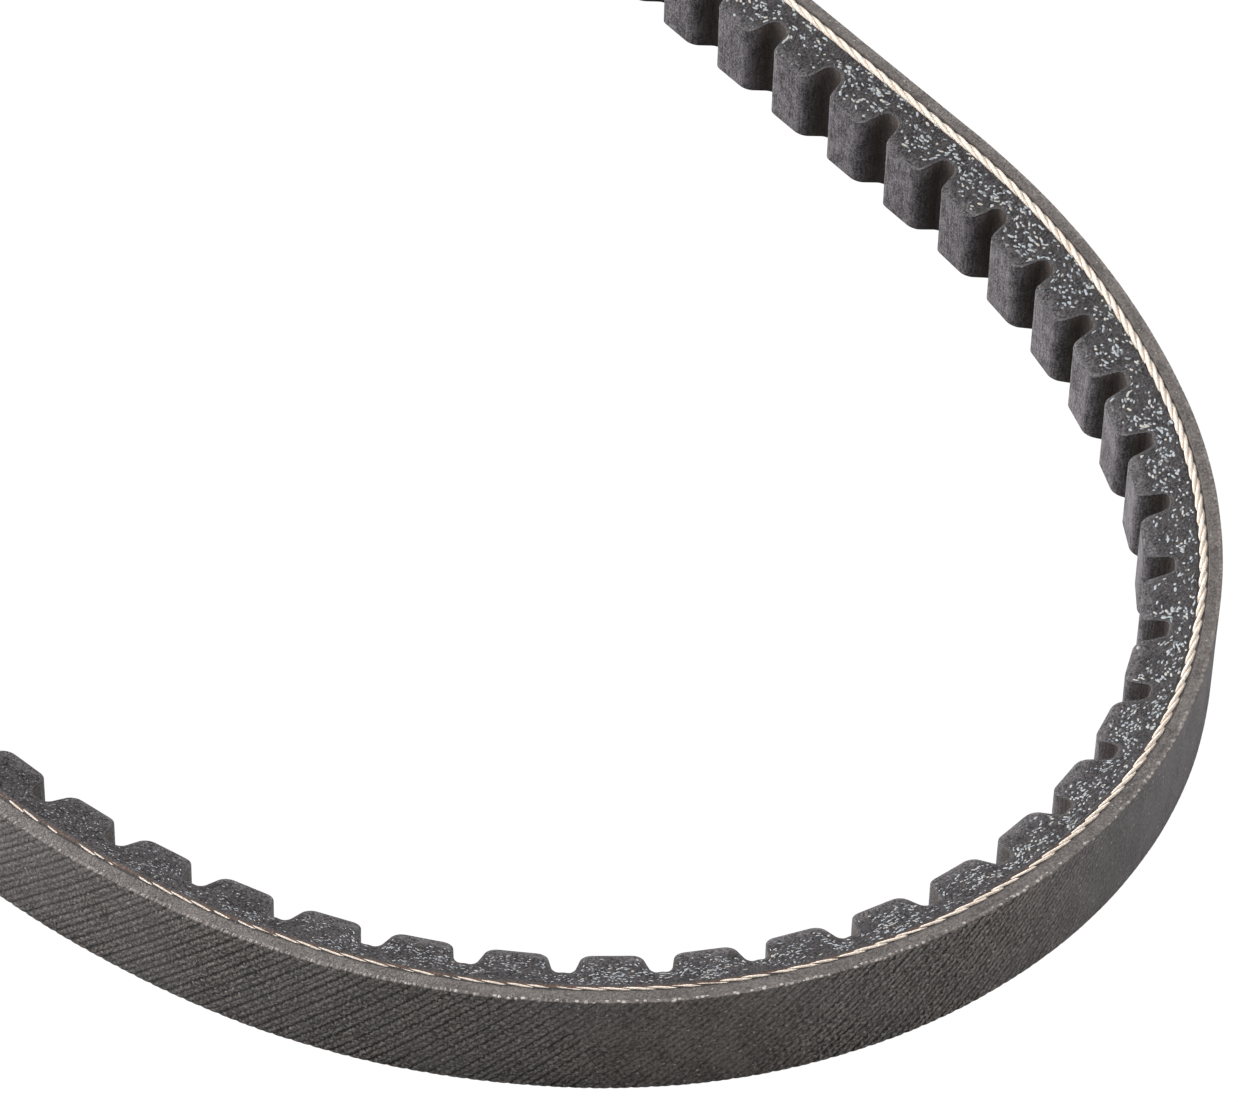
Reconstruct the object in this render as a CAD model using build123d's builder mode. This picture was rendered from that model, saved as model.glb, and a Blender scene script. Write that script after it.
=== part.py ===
from build123d import *
import math
import os

# Raw-edge cogged V-belt: an endless belt lying on its side in an oval loop.
#
# Millimetres. The belt's centre plane is Z = 0, its bending axis is +Z, and the long
# axis of the loop is X. The origin is the middle of the loop. Depths are measured
# inwards from the back of the belt. The cord line keeps its length when the belt
# bends, so every ply is placed by its inset: its distance inside the cord line.

# Belt section
TOP_WIDTH = 11.2          # across the back
HEIGHT = 7.4              # back to cog tip
CORD_DEPTH = 1.8          # back to the centre of the tensile cord
FLANK_ANGLE = 18.0        # of each flank, from the cord line to the cog tips

# Plies, as depths of their inner faces from the back
BACK_FABRIC_DEPTH = 0.4
OVERCORD_DEPTH = 1.25
ADHESION_GUM_DEPTH = 2.35
COVER_THICKNESS = 0.3     # plain rubber skin on the cogs and in the notches

# Tensile cord, wound side by side across the belt
CORD_DIAMETER = 0.9
CORD_TURNS = 11
CORD_PITCH = 1.075

# Cogs, which keep their shape while the notches between them close in a bend
COG_COUNT = 70
COG_PITCH = 9.1           # along the cord line
NOTCH_DEPTH = 3.0
COG_TIP_WIDTH = 5.2
COG_ROOT_WIDTH = 6.9
COG_TIP_RADIUS = 1.2
NOTCH_ROOT_RADIUS = 1.05
FIRST_COG = 0.08 * COG_PITCH   # past the +X end of the loop

# Loop at the cord line: each end is a tight middle arc that eases out into the straights
BEND_RADII = (56.7, 72.0, 105.0)
BEND_TURNS = (38.4, 28.0, 23.6)   # degrees for a quarter of the loop, 90 in all

QUARTER_BEND = sum(radius * math.radians(turn) for radius, turn in zip(BEND_RADII, BEND_TURNS))
STRAIGHT = COG_COUNT * COG_PITCH / 2 - 2 * QUARTER_BEND


def bend_centres():
    """Centres of one quarter's arcs, tightest first, in the +X half of the loop."""
    first_turn = math.radians(BEND_TURNS[0])
    second_turn = math.radians(BEND_TURNS[0] + BEND_TURNS[1])
    first_step = (BEND_RADII[1] - BEND_RADII[0]) * Vector(math.cos(first_turn), math.sin(first_turn))
    second_step = (BEND_RADII[2] - BEND_RADII[1]) * Vector(math.cos(second_turn), math.sin(second_turn))
    widest = Vector(STRAIGHT / 2, -first_step.Y - second_step.Y)
    return widest + second_step + first_step, widest + second_step, widest


def loop_arcs():
    """The +Y half of the loop, from its +X end: centre, radius, start angle and turn of each arc."""
    starts = (0, BEND_TURNS[0], BEND_TURNS[0] + BEND_TURNS[1])
    quarter = list(zip(bend_centres(), BEND_RADII, starts, BEND_TURNS))
    mirrored = [(Vector(-c.X, c.Y), radius, 180 - start - turn, turn) for c, radius, start, turn in quarter]
    return quarter, mirrored[::-1]


def loop_edges(inset):
    """Draw the whole loop, moved inwards from the cord line by inset."""
    near, far = loop_arcs()
    for side in (1, -1):
        arcs = [
            CenterArc((c.X, side * c.Y), radius - inset, side * start, side * turn)
            for c, radius, start, turn in near + far
        ]
        Line(arcs[len(near) - 1] @ 1, arcs[len(near)] @ 0)


with BuildLine() as cord_line:
    loop_edges(0)
CORD_WIRE = cord_line.wire()
CENTRE_OF_STRAIGHT = Vector(0, CORD_WIRE.bounding_box().max.Y)
SECTION = Plane(CENTRE_OF_STRAIGHT, x_dir=(0, 0, 1), z_dir=(1, 0, 0))   # its Y points into the loop


def cog_corners(cover):
    """Corners of one cog as distances along and inside the cord line, at a depth of cover below its skin."""
    root_inset = HEIGHT - NOTCH_DEPTH - CORD_DEPTH
    flare = (COG_ROOT_WIDTH - COG_TIP_WIDTH) / 2 / NOTCH_DEPTH
    wall_shift = cover * math.hypot(1, flare) - cover * flare
    root_half = COG_ROOT_WIDTH / 2 - wall_shift
    tip_half = COG_TIP_WIDTH / 2 - wall_shift
    return (
        (-root_half, root_inset - cover),
        (-tip_half, root_inset + NOTCH_DEPTH - cover),
        (tip_half, root_inset + NOTCH_DEPTH - cover),
        (root_half, root_inset - cover),
    )


def cog_edges(cover):
    """Draw the line of cogs all round the inside of the loop, at a depth of cover below their skin."""
    corners = []
    for cog in range(COG_COUNT):
        distance = FIRST_COG + cog * COG_PITCH
        centre = CORD_WIRE.position_at(distance, position_mode=PositionMode.LENGTH)
        along = CORD_WIRE.tangent_at(distance, position_mode=PositionMode.LENGTH)
        inwards = Vector(-along.Y, along.X)
        corners += [centre + along * u + inwards * inset for u, inset in cog_corners(cover)]
    root, tip = NOTCH_ROOT_RADIUS + cover, COG_TIP_RADIUS - cover
    FilletPolyline(*corners, radius=[root, tip, tip, root] * COG_COUNT, close=True)


def ring(outer_edges, outer_inset, inner_edges, inner_inset):
    """The area between two closed lines round the loop."""
    with BuildSketch() as area:
        with BuildLine():
            outer_edges(outer_inset)
        make_face()
        with BuildLine():
            inner_edges(inner_inset)
        make_face(mode=Mode.SUBTRACT)
    return area.sketch


def belt_section():
    """The belt's outline across its length, square at the overcord and tapered below the cord."""
    top_half = TOP_WIDTH / 2
    inside = HEIGHT - CORD_DEPTH
    tip_half = top_half - inside * math.tan(math.radians(FLANK_ANGLE))
    with BuildSketch(SECTION) as section:
        with BuildLine():
            Polyline(
                (-top_half, -CORD_DEPTH), (top_half, -CORD_DEPTH), (top_half, 0),
                (tip_half, inside), (-tip_half, inside), (-top_half, 0), close=True,
            )
        make_face()
    return section.sketch


def cord_section(offsets):
    """Tensile cord cut across, once at each offset from the centre plane."""
    with BuildSketch(SECTION) as section:
        with Locations(*[(offset, 0) for offset in offsets]):
            Circle(CORD_DIAMETER / 2)
    return section.sketch


HALF_WIDTH = TOP_WIDTH / 2
CORD_OFFSETS = [CORD_PITCH * (turn - (CORD_TURNS - 1) / 2) for turn in range(CORD_TURNS)]

with BuildPart() as back_fabric:
    extrude(ring(loop_edges, -CORD_DEPTH, loop_edges, BACK_FABRIC_DEPTH - CORD_DEPTH), HALF_WIDTH, both=True)

with BuildPart() as overcord_rubber:
    extrude(
        ring(loop_edges, BACK_FABRIC_DEPTH - CORD_DEPTH, loop_edges, OVERCORD_DEPTH - CORD_DEPTH),
        HALF_WIDTH, both=True,
    )

with BuildPart() as upper_adhesion_gum:
    extrude(ring(loop_edges, OVERCORD_DEPTH - CORD_DEPTH, loop_edges, 0), HALF_WIDTH, both=True)
    sweep(cord_section(CORD_OFFSETS), path=CORD_WIRE, mode=Mode.SUBTRACT)

with BuildPart() as lower_adhesion_gum:
    extrude(ring(loop_edges, 0, loop_edges, ADHESION_GUM_DEPTH - CORD_DEPTH), HALF_WIDTH, both=True)
    sweep(cord_section(CORD_OFFSETS), path=CORD_WIRE, mode=Mode.SUBTRACT)
    sweep(belt_section(), path=CORD_WIRE, mode=Mode.INTERSECT)

with BuildPart() as undercord_rubber:
    extrude(
        ring(loop_edges, ADHESION_GUM_DEPTH - CORD_DEPTH, cog_edges, COVER_THICKNESS), HALF_WIDTH, both=True
    )
    sweep(belt_section(), path=CORD_WIRE, mode=Mode.INTERSECT)

with BuildPart() as cog_cover:
    extrude(ring(cog_edges, COVER_THICKNESS, cog_edges, 0), HALF_WIDTH, both=True)
    sweep(belt_section(), path=CORD_WIRE, mode=Mode.INTERSECT)

plies = {
    "back_fabric": back_fabric.part,
    "overcord_rubber": overcord_rubber.part,
    "upper_adhesion_gum": upper_adhesion_gum.part,
    "lower_adhesion_gum": lower_adhesion_gum.part,
    "undercord_rubber": undercord_rubber.part,
    "cog_cover": cog_cover.part,
}

cord = {}
for turn, offset in enumerate(CORD_OFFSETS, start=1):
    with BuildPart() as tensile_cord:
        sweep(cord_section([offset]), path=CORD_WIRE)
        if abs(offset) + CORD_DIAMETER / 2 > HALF_WIDTH:
            sweep(belt_section(), path=CORD_WIRE, mode=Mode.INTERSECT)
    cord[f"tensile_cord_{turn:02}"] = tensile_cord.part

os.makedirs("parts", exist_ok=True)
for name, part in (plies | cord).items():
    part.label = name
    export_step(part, f"parts/{name}.step")
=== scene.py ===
import math

import bpy
from mathutils import Matrix, Vector


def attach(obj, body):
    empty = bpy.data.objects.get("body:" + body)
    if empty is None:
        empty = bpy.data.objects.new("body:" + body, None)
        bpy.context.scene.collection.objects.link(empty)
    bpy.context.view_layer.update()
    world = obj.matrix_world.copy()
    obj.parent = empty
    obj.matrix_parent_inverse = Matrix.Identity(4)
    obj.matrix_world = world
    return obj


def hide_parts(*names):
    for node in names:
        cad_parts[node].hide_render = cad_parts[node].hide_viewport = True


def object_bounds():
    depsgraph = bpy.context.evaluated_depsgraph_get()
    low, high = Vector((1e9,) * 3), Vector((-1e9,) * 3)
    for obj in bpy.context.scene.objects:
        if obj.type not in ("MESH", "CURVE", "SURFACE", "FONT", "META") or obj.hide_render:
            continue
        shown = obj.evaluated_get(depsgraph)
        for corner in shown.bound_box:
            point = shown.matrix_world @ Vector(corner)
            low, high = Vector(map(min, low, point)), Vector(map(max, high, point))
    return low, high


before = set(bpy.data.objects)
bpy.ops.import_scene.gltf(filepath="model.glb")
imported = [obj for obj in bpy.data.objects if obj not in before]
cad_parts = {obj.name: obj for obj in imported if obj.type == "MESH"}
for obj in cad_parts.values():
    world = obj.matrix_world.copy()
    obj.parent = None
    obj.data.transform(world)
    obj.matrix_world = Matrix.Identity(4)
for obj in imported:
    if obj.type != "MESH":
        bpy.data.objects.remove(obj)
cad_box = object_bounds()

# Sizes of the belt in metres. Distance along the belt is measured on the cord line from the
# +X end of the loop, anticlockwise. Inset is measured from the cord line into the loop.
MM = 0.001
TOP_WIDTH = 11.2 * MM
HEIGHT = 7.4 * MM
CORD_DEPTH = 1.8 * MM
FLANK_TAPER = math.tan(math.radians(18))
BACK_INSET = -CORD_DEPTH
FABRIC_INSET = BACK_INSET + 0.4 * MM
OVERCORD_INSET = BACK_INSET + 1.25 * MM
GUM_INSET = BACK_INSET + 2.35 * MM

COGS = 70
PITCH = 9.1 * MM
FIRST_COG = 0.08 * PITCH
NOTCH_DEPTH = 3.0 * MM
NOTCH_ROOT = HEIGHT - NOTCH_DEPTH - CORD_DEPTH   # inset of the flat of a notch
COG_TIP_WIDTH = 5.2 * MM
COG_ROOT_WIDTH = 6.9 * MM
COG_TIP_RADIUS = 1.2 * MM
NOTCH_ROOT_RADIUS = 1.05 * MM
SKIN = 0.3 * MM
STIFFENING = 1.2 * MM     # depth below the gum over which the rubber comes to move with its cog
SKIN_EDGE = 0.04 * MM     # broken edge of the skin, where it is cut at the flanks

BENDS = [(56.7 * MM, math.radians(38.4)), (72 * MM, math.radians(28)), (105 * MM, math.radians(23.6))]
LENGTH = COGS * PITCH
WOBBLE_SIZE = 6.25 * MM   # of the slight unevenness that all the plies share

# Back fabric
RIB_PAIRS = 358
RIB_PITCH = LENGTH / RIB_PAIRS / 2
RIB_DEPTH = 0.09 * MM
RIB_FLATTENING = 0.85     # share of its depth that a groove loses where the ribs are flat
FABRIC_LIP = 0.05 * MM    # rounding of the fabric at the cut edges of the belt
FABRIC_CUT = (5.4 * MM, 5.55 * MM)   # half width over which the woven face gives way to bare rubber

# The cord that shows in each flank, and the gum beside it
STRANDS = 5
ROPE_TURNS = 60
ROPE_RINGS = 1680
SLIM_ROPE = 0.3 * MM      # radius of the cord where the gum nearly buries it
FULL_ROPE = 0.57 * MM     # and where it lies bare
STRAND_SHARE = 1 / (1 + 1 / math.sin(math.pi / STRANDS))   # of the cord's radius, for strands that touch
STRAND_SWELL = 1.34       # strands are fuller than that, so that they press together
ROPE_SURFACE = TOP_WIDTH / 2 - 0.03 * MM   # half width at which the slim cord's surface lies
ROPE_DROP = 0.08 * MM     # how much deeper the bare cord lies, inside the line of the flank
ROPE_SINKS = 0.062 * MM   # how far the slim cord dips into the gum, in places
DIP_SPACING = 2.4 * MM    # rough length of such a dip
GUM_EDGE = 0.05 * MM      # the gum's slope from the ground flank down to the cord
GUM_LEVEL = 5.55 * MM     # half width of the gum beside a cord that is nearly buried
CORD_BARED = 0.33 * MM    # how much lower the gum lies where the cord shows its full width

# Chopped fibre in the undercord
CLUMP_SIZE = 0.85 * MM    # of the streaks in which the fibres crowd
FIBRE_THICKNESS = 0.02 * MM
TIP_FADE = (3.4 * MM, 4.9 * MM)   # inset over which the fibres fade out towards the cog tips
TIP_GREYING = (3.9 * MM, 5.1 * MM)   # and over which the rubber turns greyer

# Stretches of the belt over which it changes, as distances along it
BARE_CORD = (-60 * MM, 140 * MM, 215 * MM, 270 * MM)   # the cord comes out of the gum, then sinks back
FLAT_RIBS = (-8 * MM, 14 * MM, 215 * MM, 260 * MM)     # the back's ribs flatten, then stand up again
NO_CHANGE = (LENGTH, 2 * LENGTH, 3 * LENGTH, 4 * LENGTH)   # past the end of the belt
WEAVE_FIRMS = (-125 * MM, -62 * MM)     # the back's weave grows stronger
WEAVE_FADES = (-4 * MM, 22 * MM)        # and is worn away
WEAVE_RUBBED = -29 * MM                 # middle of a patch where it is half worn
FRAYING_STARTS = (-75 * MM, -35 * MM)   # yarn ends show at the cut edges of the back
FRAYING_ENDS = (5 * MM, 40 * MM)
PAINTED_LIGHT_ENDS = (-85 * MM, -10 * MM)        # the undercord's flank leaves the painted light that makes its near stretch paler
FIBRE_SHOWS = (-110 * MM, -25 * MM)     # its chopped fibres come into view
FIBRE_COARSENS = (-30 * MM, 60 * MM)    # and grow larger and fewer


class Wiring:
    """Adds nodes to a tree. An input is fed a plain value or another node's output."""

    def __init__(self, tree):
        self.tree = tree

    def node(self, kind, inputs=(), **settings):
        made = self.tree.nodes.new(kind)
        for name, value in settings.items():
            setattr(made, name, value)
        for key, value in dict(inputs).items():
            self.feed(made.inputs[key], value)
        return made

    def feed(self, socket, value):
        if isinstance(value, bpy.types.NodeSocket):
            self.tree.links.new(value, socket)
        else:
            socket.default_value = value

    def math(self, operation, *values):
        return self.node("ShaderNodeMath", enumerate(values), operation=operation).outputs[0]

    def vector(self, operation, *values):
        made = self.node("ShaderNodeVectorMath", enumerate(values), operation=operation)
        return made.outputs["Vector"]

    def scaled(self, vector, factor):
        return self.node("ShaderNodeVectorMath", {0: vector, "Scale": factor}, operation="SCALE").outputs[0]

    def step(self, value, low, high, ends=(0.0, 1.0)):
        """A soft step from the first end to the second while value goes from low to high."""
        inputs = {"Value": value, "From Min": low, "From Max": high, "To Min": ends[0], "To Max": ends[1]}
        return self.node("ShaderNodeMapRange", inputs, interpolation_type="SMOOTHSTEP").outputs[0]

    def noise(self, vector, size, detail=0.0, **more):
        """Noise whose features are about one size."""
        inputs = {"Vector": vector, "Scale": 1 / size, "Detail": detail, **more}
        return self.node("ShaderNodeTexNoise", inputs).outputs[0]

    def mix(self, factor, a, b):
        return self.node("ShaderNodeMix", {0: factor, 4: a, 5: b}, data_type="VECTOR").outputs[1]

    def colour(self, factor, a, b):
        return self.node("ShaderNodeMix", {0: factor, 6: a, 7: b}, data_type="RGBA").outputs[2]

    def split(self, vector):
        return self.node("ShaderNodeSeparateXYZ", {0: vector}).outputs

    def joined(self, x=0.0, y=0.0, z=0.0):
        return self.node("ShaderNodeCombineXYZ", {0: x, 1: y, 2: z}).outputs[0]


def new_tree(name, kind, inputs, outputs):
    """A node tree with named sockets, given as name: (socket kind, default value)."""
    tree = bpy.data.node_groups.new(name, kind)
    for direction, sockets in (("INPUT", inputs), ("OUTPUT", outputs)):
        for socket_name, (socket_kind, default) in sockets.items():
            socket = tree.interface.new_socket(socket_name, in_out=direction, socket_type=socket_kind)
            if default is not None:
                socket.default_value = default
    wires = Wiring(tree)
    return wires, wires.node("NodeGroupInput").outputs, wires.node("NodeGroupOutput").inputs


# ---------------------------------------------------------------- the line that everything follows

def quarter_point(distance):
    """A point on the first quarter of the cord line, from its +X end, before the loop is centred."""
    angle, centre = 0.0, Vector((-BENDS[0][0], 0, 0))
    for (radius, turn), (next_radius, _) in zip(BENDS, BENDS[1:] + [(0, 0)]):
        turned = min(distance / radius, turn)
        outwards = Vector((math.cos(angle + turned), math.sin(angle + turned), 0))
        if distance <= radius * turn:
            return centre + outwards * radius
        distance -= radius * turn
        angle += turn
        centre += outwards * (radius - next_radius)
    return centre - Vector((distance, 0, 0))


def loop_point(distance):
    """A point on the centred cord line, from -LENGTH / 2 to LENGTH / 2 past the +X end."""
    nearest_end = min(abs(distance), LENGTH / 2 - abs(distance))
    point = quarter_point(nearest_end) - Vector((quarter_point(LENGTH / 4).x, 0, 0))
    far_half = abs(distance) > LENGTH / 4
    return Vector((-point.x if far_half else point.x, math.copysign(point.y, distance), 0))


def draw_cord_line(points=COGS * 12):
    """The closed cord line as a curve, which starts and ends at the -X end of the loop."""
    curve = bpy.data.curves.new("cord_line", "CURVE")
    curve.dimensions = "3D"
    spline = curve.splines.new("POLY")
    spline.points.add(points - 1)
    for index, point in enumerate(spline.points):
        point.co = (*loop_point((index / points - 0.5) * LENGTH), 1)
    spline.use_cyclic_u = True
    line = bpy.data.objects.new("cord_line", curve)
    bpy.context.scene.collection.objects.link(line)
    return line


# ---------------------------------------------------------------- Geometry Nodes

SHARED_INPUTS = {"Geometry": ("NodeSocketGeometry", None), "Cord line": ("NodeSocketObject", None)}
SHARED_OUTPUTS = {"Geometry": ("NodeSocketGeometry", None)}
CHANGE = {
    "Change starts": ("NodeSocketFloat", 0.0), "Change ends": ("NodeSocketFloat", 1.0),
    "Return starts": ("NodeSocketFloat", 1.0), "Return ends": ("NodeSocketFloat", 2.0),
}


def on_cord_line(wires, given, distance):
    """A place on the cord line, with the directions ahead and into the loop there."""
    line = wires.node("GeometryNodeObjectInfo", {"Object": given["Cord line"]}).outputs["Geometry"]
    factor = wires.math("FRACT", wires.math("MULTIPLY_ADD", distance, 1 / LENGTH, 0.5))
    sample = wires.node("GeometryNodeSampleCurve", {"Curves": line, "Factor": factor}, mode="FACTOR")
    ahead = wires.vector("NORMALIZE", sample.outputs["Tangent"])
    return sample.outputs["Position"], ahead, wires.vector("CROSS_PRODUCT", (0, 0, 1), ahead)


def stored(wires, name):
    """A vector that was stored on the geometry."""
    return wires.node("GeometryNodeInputNamedAttribute", {"Name": name}, data_type="FLOAT_VECTOR").outputs[0]


def random_value(wires, low, high, seed):
    return wires.node("FunctionNodeRandomValue", {2: low, 3: high, "Seed": seed}).outputs[1]


def changed_stretch(wires, given, along):
    """One on the stretch of belt between the four distances in the inputs, nought on the rest of it."""
    arriving = wires.step(along, given["Change starts"], given["Change ends"])
    leaving = wires.step(along, given["Return starts"], given["Return ends"], ends=(1.0, 0.0))
    return wires.math("MULTIPLY", arriving, leaving)


def bent(wires, given, follow, geometry):
    """Geometry of a straight belt, laid on the cord line."""
    laid = wires.node("GeometryNodeGroup", node_tree=follow)
    wires.feed(laid.inputs["Geometry"], geometry)
    wires.feed(laid.inputs["Cord line"], given["Cord line"])
    return laid.outputs[0]


def end_tree(wires, given, made, geometry):
    """Ends the tree of a piece: real geometry in its material."""
    real = wires.node("GeometryNodeRealizeInstances", {0: geometry})
    finished = wires.node("GeometryNodeSetMaterial", {
        "Geometry": real.outputs[0], "Material": given["Material"]})
    wires.feed(made["Geometry"], finished.outputs[0])
    return wires.tree


def follow_tree():
    """Lays a straight belt on the cord line. Its X is distance along, Y is inset and Z stays.

    Cogs keep their shape, so below the gum a point follows its own cog, easing out to the
    bent line at mid notch. A slight wobble, the same for every ply, takes the machine look off.
    """
    wires, given, made = new_tree(
        "follow cord line", "GeometryNodeTree",
        {**SHARED_INPUTS, "Wobble": ("NodeSocketFloat", 0.07 * MM)}, SHARED_OUTPUTS)
    along, inset, height = wires.split(wires.node("GeometryNodeInputPosition").outputs[0])

    def placed(distance, ahead_of_it):
        position, ahead, inwards = on_cord_line(wires, given, distance)
        moved = wires.vector("ADD", position, wires.scaled(inwards, inset))
        return wires.vector("ADD", moved, wires.scaled(ahead, ahead_of_it))

    cog = wires.math("ROUND", wires.math("DIVIDE", wires.math("SUBTRACT", along, FIRST_COG), PITCH))
    cog_place = wires.math("MULTIPLY_ADD", cog, PITCH, FIRST_COG)
    from_cog = wires.math("SUBTRACT", along, cog_place)
    on_cog = wires.step(wires.math("ABSOLUTE", from_cog), COG_ROOT_WIDTH / 2, PITCH / 2, ends=(1.0, 0.0))
    stiffness = wires.math("MULTIPLY", on_cog, wires.step(inset, GUM_INSET, GUM_INSET + STIFFENING))
    laid = wires.mix(stiffness, placed(along, 0.0), placed(cog_place, from_cog))
    upright = wires.vector("ADD", laid, wires.joined(z=height))
    noise = wires.node("ShaderNodeTexNoise", {"Vector": upright, "Scale": 1 / WOBBLE_SIZE, "Detail": 1.0})
    sway = wires.scaled(wires.vector("SUBTRACT", noise.outputs["Color"], (0.5, 0.5, 0.5)), given["Wobble"])
    moved = wires.node("GeometryNodeSetPosition", {
        "Geometry": given["Geometry"], "Position": wires.vector("ADD", upright, sway)})
    wires.feed(made["Geometry"], moved.outputs[0])
    return wires.tree


def strip_tree(follow):
    """Repeats one cell of a ply round the loop and lays it on the cord line.

    "change" says how far each point moves on the stretch between the four distances, and
    "belt_space" keeps each corner's place on the straight belt.
    """
    wires, given, made = new_tree(
        "belt strip", "GeometryNodeTree",
        {**SHARED_INPUTS, "Cell length": ("NodeSocketFloat", PITCH), "Cells": ("NodeSocketInt", COGS),
         "First cell": ("NodeSocketFloat", -LENGTH / 2), **CHANGE,
         "Weld": ("NodeSocketFloat", 0.003 * MM), "Sharp from": ("NodeSocketFloat", math.radians(38)),
         "Material": ("NodeSocketMaterial", None)}, SHARED_OUTPUTS)
    cells = wires.node("GeometryNodeMeshLine", {
        "Count": given["Cells"], "Start Location": wires.joined(x=given["First cell"]),
        "Offset": wires.joined(x=given["Cell length"])})
    strip = wires.node("GeometryNodeInstanceOnPoints", {
        "Points": cells.outputs[0], "Instance": given["Geometry"]})
    whole = wires.node("GeometryNodeRealizeInstances", {0: strip.outputs[0]})
    place = wires.node("GeometryNodeInputPosition").outputs[0]
    changed = changed_stretch(wires, given, wires.split(place)[0])
    varied = wires.node("GeometryNodeSetPosition", {
        "Geometry": whole.outputs[0], "Offset": wires.scaled(stored(wires, "change"), changed)})
    kept = wires.node("GeometryNodeStoreNamedAttribute", {
        "Geometry": varied.outputs[0], "Name": "belt_space", "Value": place},
        data_type="FLOAT_VECTOR", domain="CORNER")
    welded = wires.node("GeometryNodeMergeByDistance", {
        "Geometry": bent(wires, given, follow, kept.outputs[0]), "Distance": given["Weld"]})
    edge_angle = wires.node("GeometryNodeInputMeshEdgeAngle").outputs[0]
    blunt = wires.math("LESS_THAN", edge_angle, given["Sharp from"])
    smooth = wires.node("GeometryNodeSetShadeSmooth", {
        "Geometry": welded.outputs[0], "Shade Smooth": blunt}, domain="EDGE")
    return end_tree(wires, given, made, smooth.outputs[0])


def rope_tree(follow):
    """Strands twisted round each other along the cord line, on one side of the belt.

    The cord is full on the stretch between the four distances. On the rest of the belt it is
    slim, and dips into the gum in places.
    """
    wires, given, made = new_tree(
        "twisted cord", "GeometryNodeTree",
        {**SHARED_INPUTS, "Strands": ("NodeSocketInt", STRANDS), "Turns": ("NodeSocketInt", ROPE_TURNS),
         "Rings": ("NodeSocketInt", ROPE_RINGS), "Sides of a strand": ("NodeSocketInt", 7),
         "Slim radius": ("NodeSocketFloat", SLIM_ROPE), "Full radius": ("NodeSocketFloat", FULL_ROPE),
         "Surface": ("NodeSocketFloat", ROPE_SURFACE), "Side": ("NodeSocketFloat", 1.0), **CHANGE,
         "Material": ("NodeSocketMaterial", None)}, SHARED_OUTPUTS)
    step = wires.math("DIVIDE", LENGTH, given["Rings"])
    rail = wires.node("GeometryNodeMeshLine", {
        "Count": given["Rings"], "Start Location": (-LENGTH / 2, 0, 0), "Offset": wires.joined(x=step)})
    curve = wires.node("GeometryNodeMeshToCurve", {"Mesh": rail.outputs[0]})
    closed = wires.node("GeometryNodeSetSplineCyclic", {"Geometry": curve.outputs[0], "Cyclic": True})
    copies = wires.node("GeometryNodeDuplicateElements", {
        "Geometry": closed.outputs[0], "Amount": given["Strands"]}, domain="SPLINE")
    along = wires.split(wires.node("GeometryNodeInputPosition").outputs[0])[0]
    share = wires.math("DIVIDE", copies.outputs["Duplicate Index"], given["Strands"])
    turned = wires.math("MULTIPLY_ADD", wires.math("DIVIDE", along, LENGTH), given["Turns"], share)
    angle = wires.math("MULTIPLY", turned, math.tau)
    bare = changed_stretch(wires, given, along)
    growth = wires.math("SUBTRACT", given["Full radius"], given["Slim radius"])
    radius = wires.math("MULTIPLY_ADD", growth, bare, given["Slim radius"])
    strand_radius = wires.math("MULTIPLY", radius, STRAND_SHARE)
    offset = wires.math("SUBTRACT", radius, strand_radius)
    wander = wires.noise(wires.joined(along, given["Side"]), DIP_SPACING, 4.0)
    dip = wires.step(wander, 0.36, 0.52, ends=(ROPE_SINKS, 0.0))
    dipped = wires.math("MULTIPLY", dip, wires.math("SUBTRACT", 1.0, bare))
    lowered = wires.math("MULTIPLY_ADD", bare, ROPE_DROP, dipped)
    centre = wires.math("SUBTRACT", wires.math("SUBTRACT", given["Surface"], lowered), radius)
    inset = wires.math("MULTIPLY", offset, wires.math("COSINE", angle))
    height = wires.math("MULTIPLY_ADD", offset, wires.math("SINE", angle), centre)
    twisted = wires.node("GeometryNodeSetPosition", {
        "Geometry": copies.outputs[0],
        "Position": wires.joined(along, inset, wires.math("MULTIPLY", height, given["Side"]))})
    swollen = wires.node("GeometryNodeSetCurveRadius", {
        "Curve": twisted.outputs[0], "Radius": strand_radius})
    circle = wires.node("GeometryNodeCurvePrimitiveCircle", {
        "Resolution": given["Sides of a strand"], "Radius": STRAND_SWELL})
    tube = wires.node("GeometryNodeCurveToMesh", {
        "Curve": bent(wires, given, follow, swollen.outputs[0]), "Profile Curve": circle.outputs[0],
        "Scale": wires.node("GeometryNodeInputRadius").outputs[0]})
    smooth = wires.node("GeometryNodeSetShadeSmooth", {"Geometry": tube.outputs[0]})
    return end_tree(wires, given, made, smooth.outputs[0])


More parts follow.
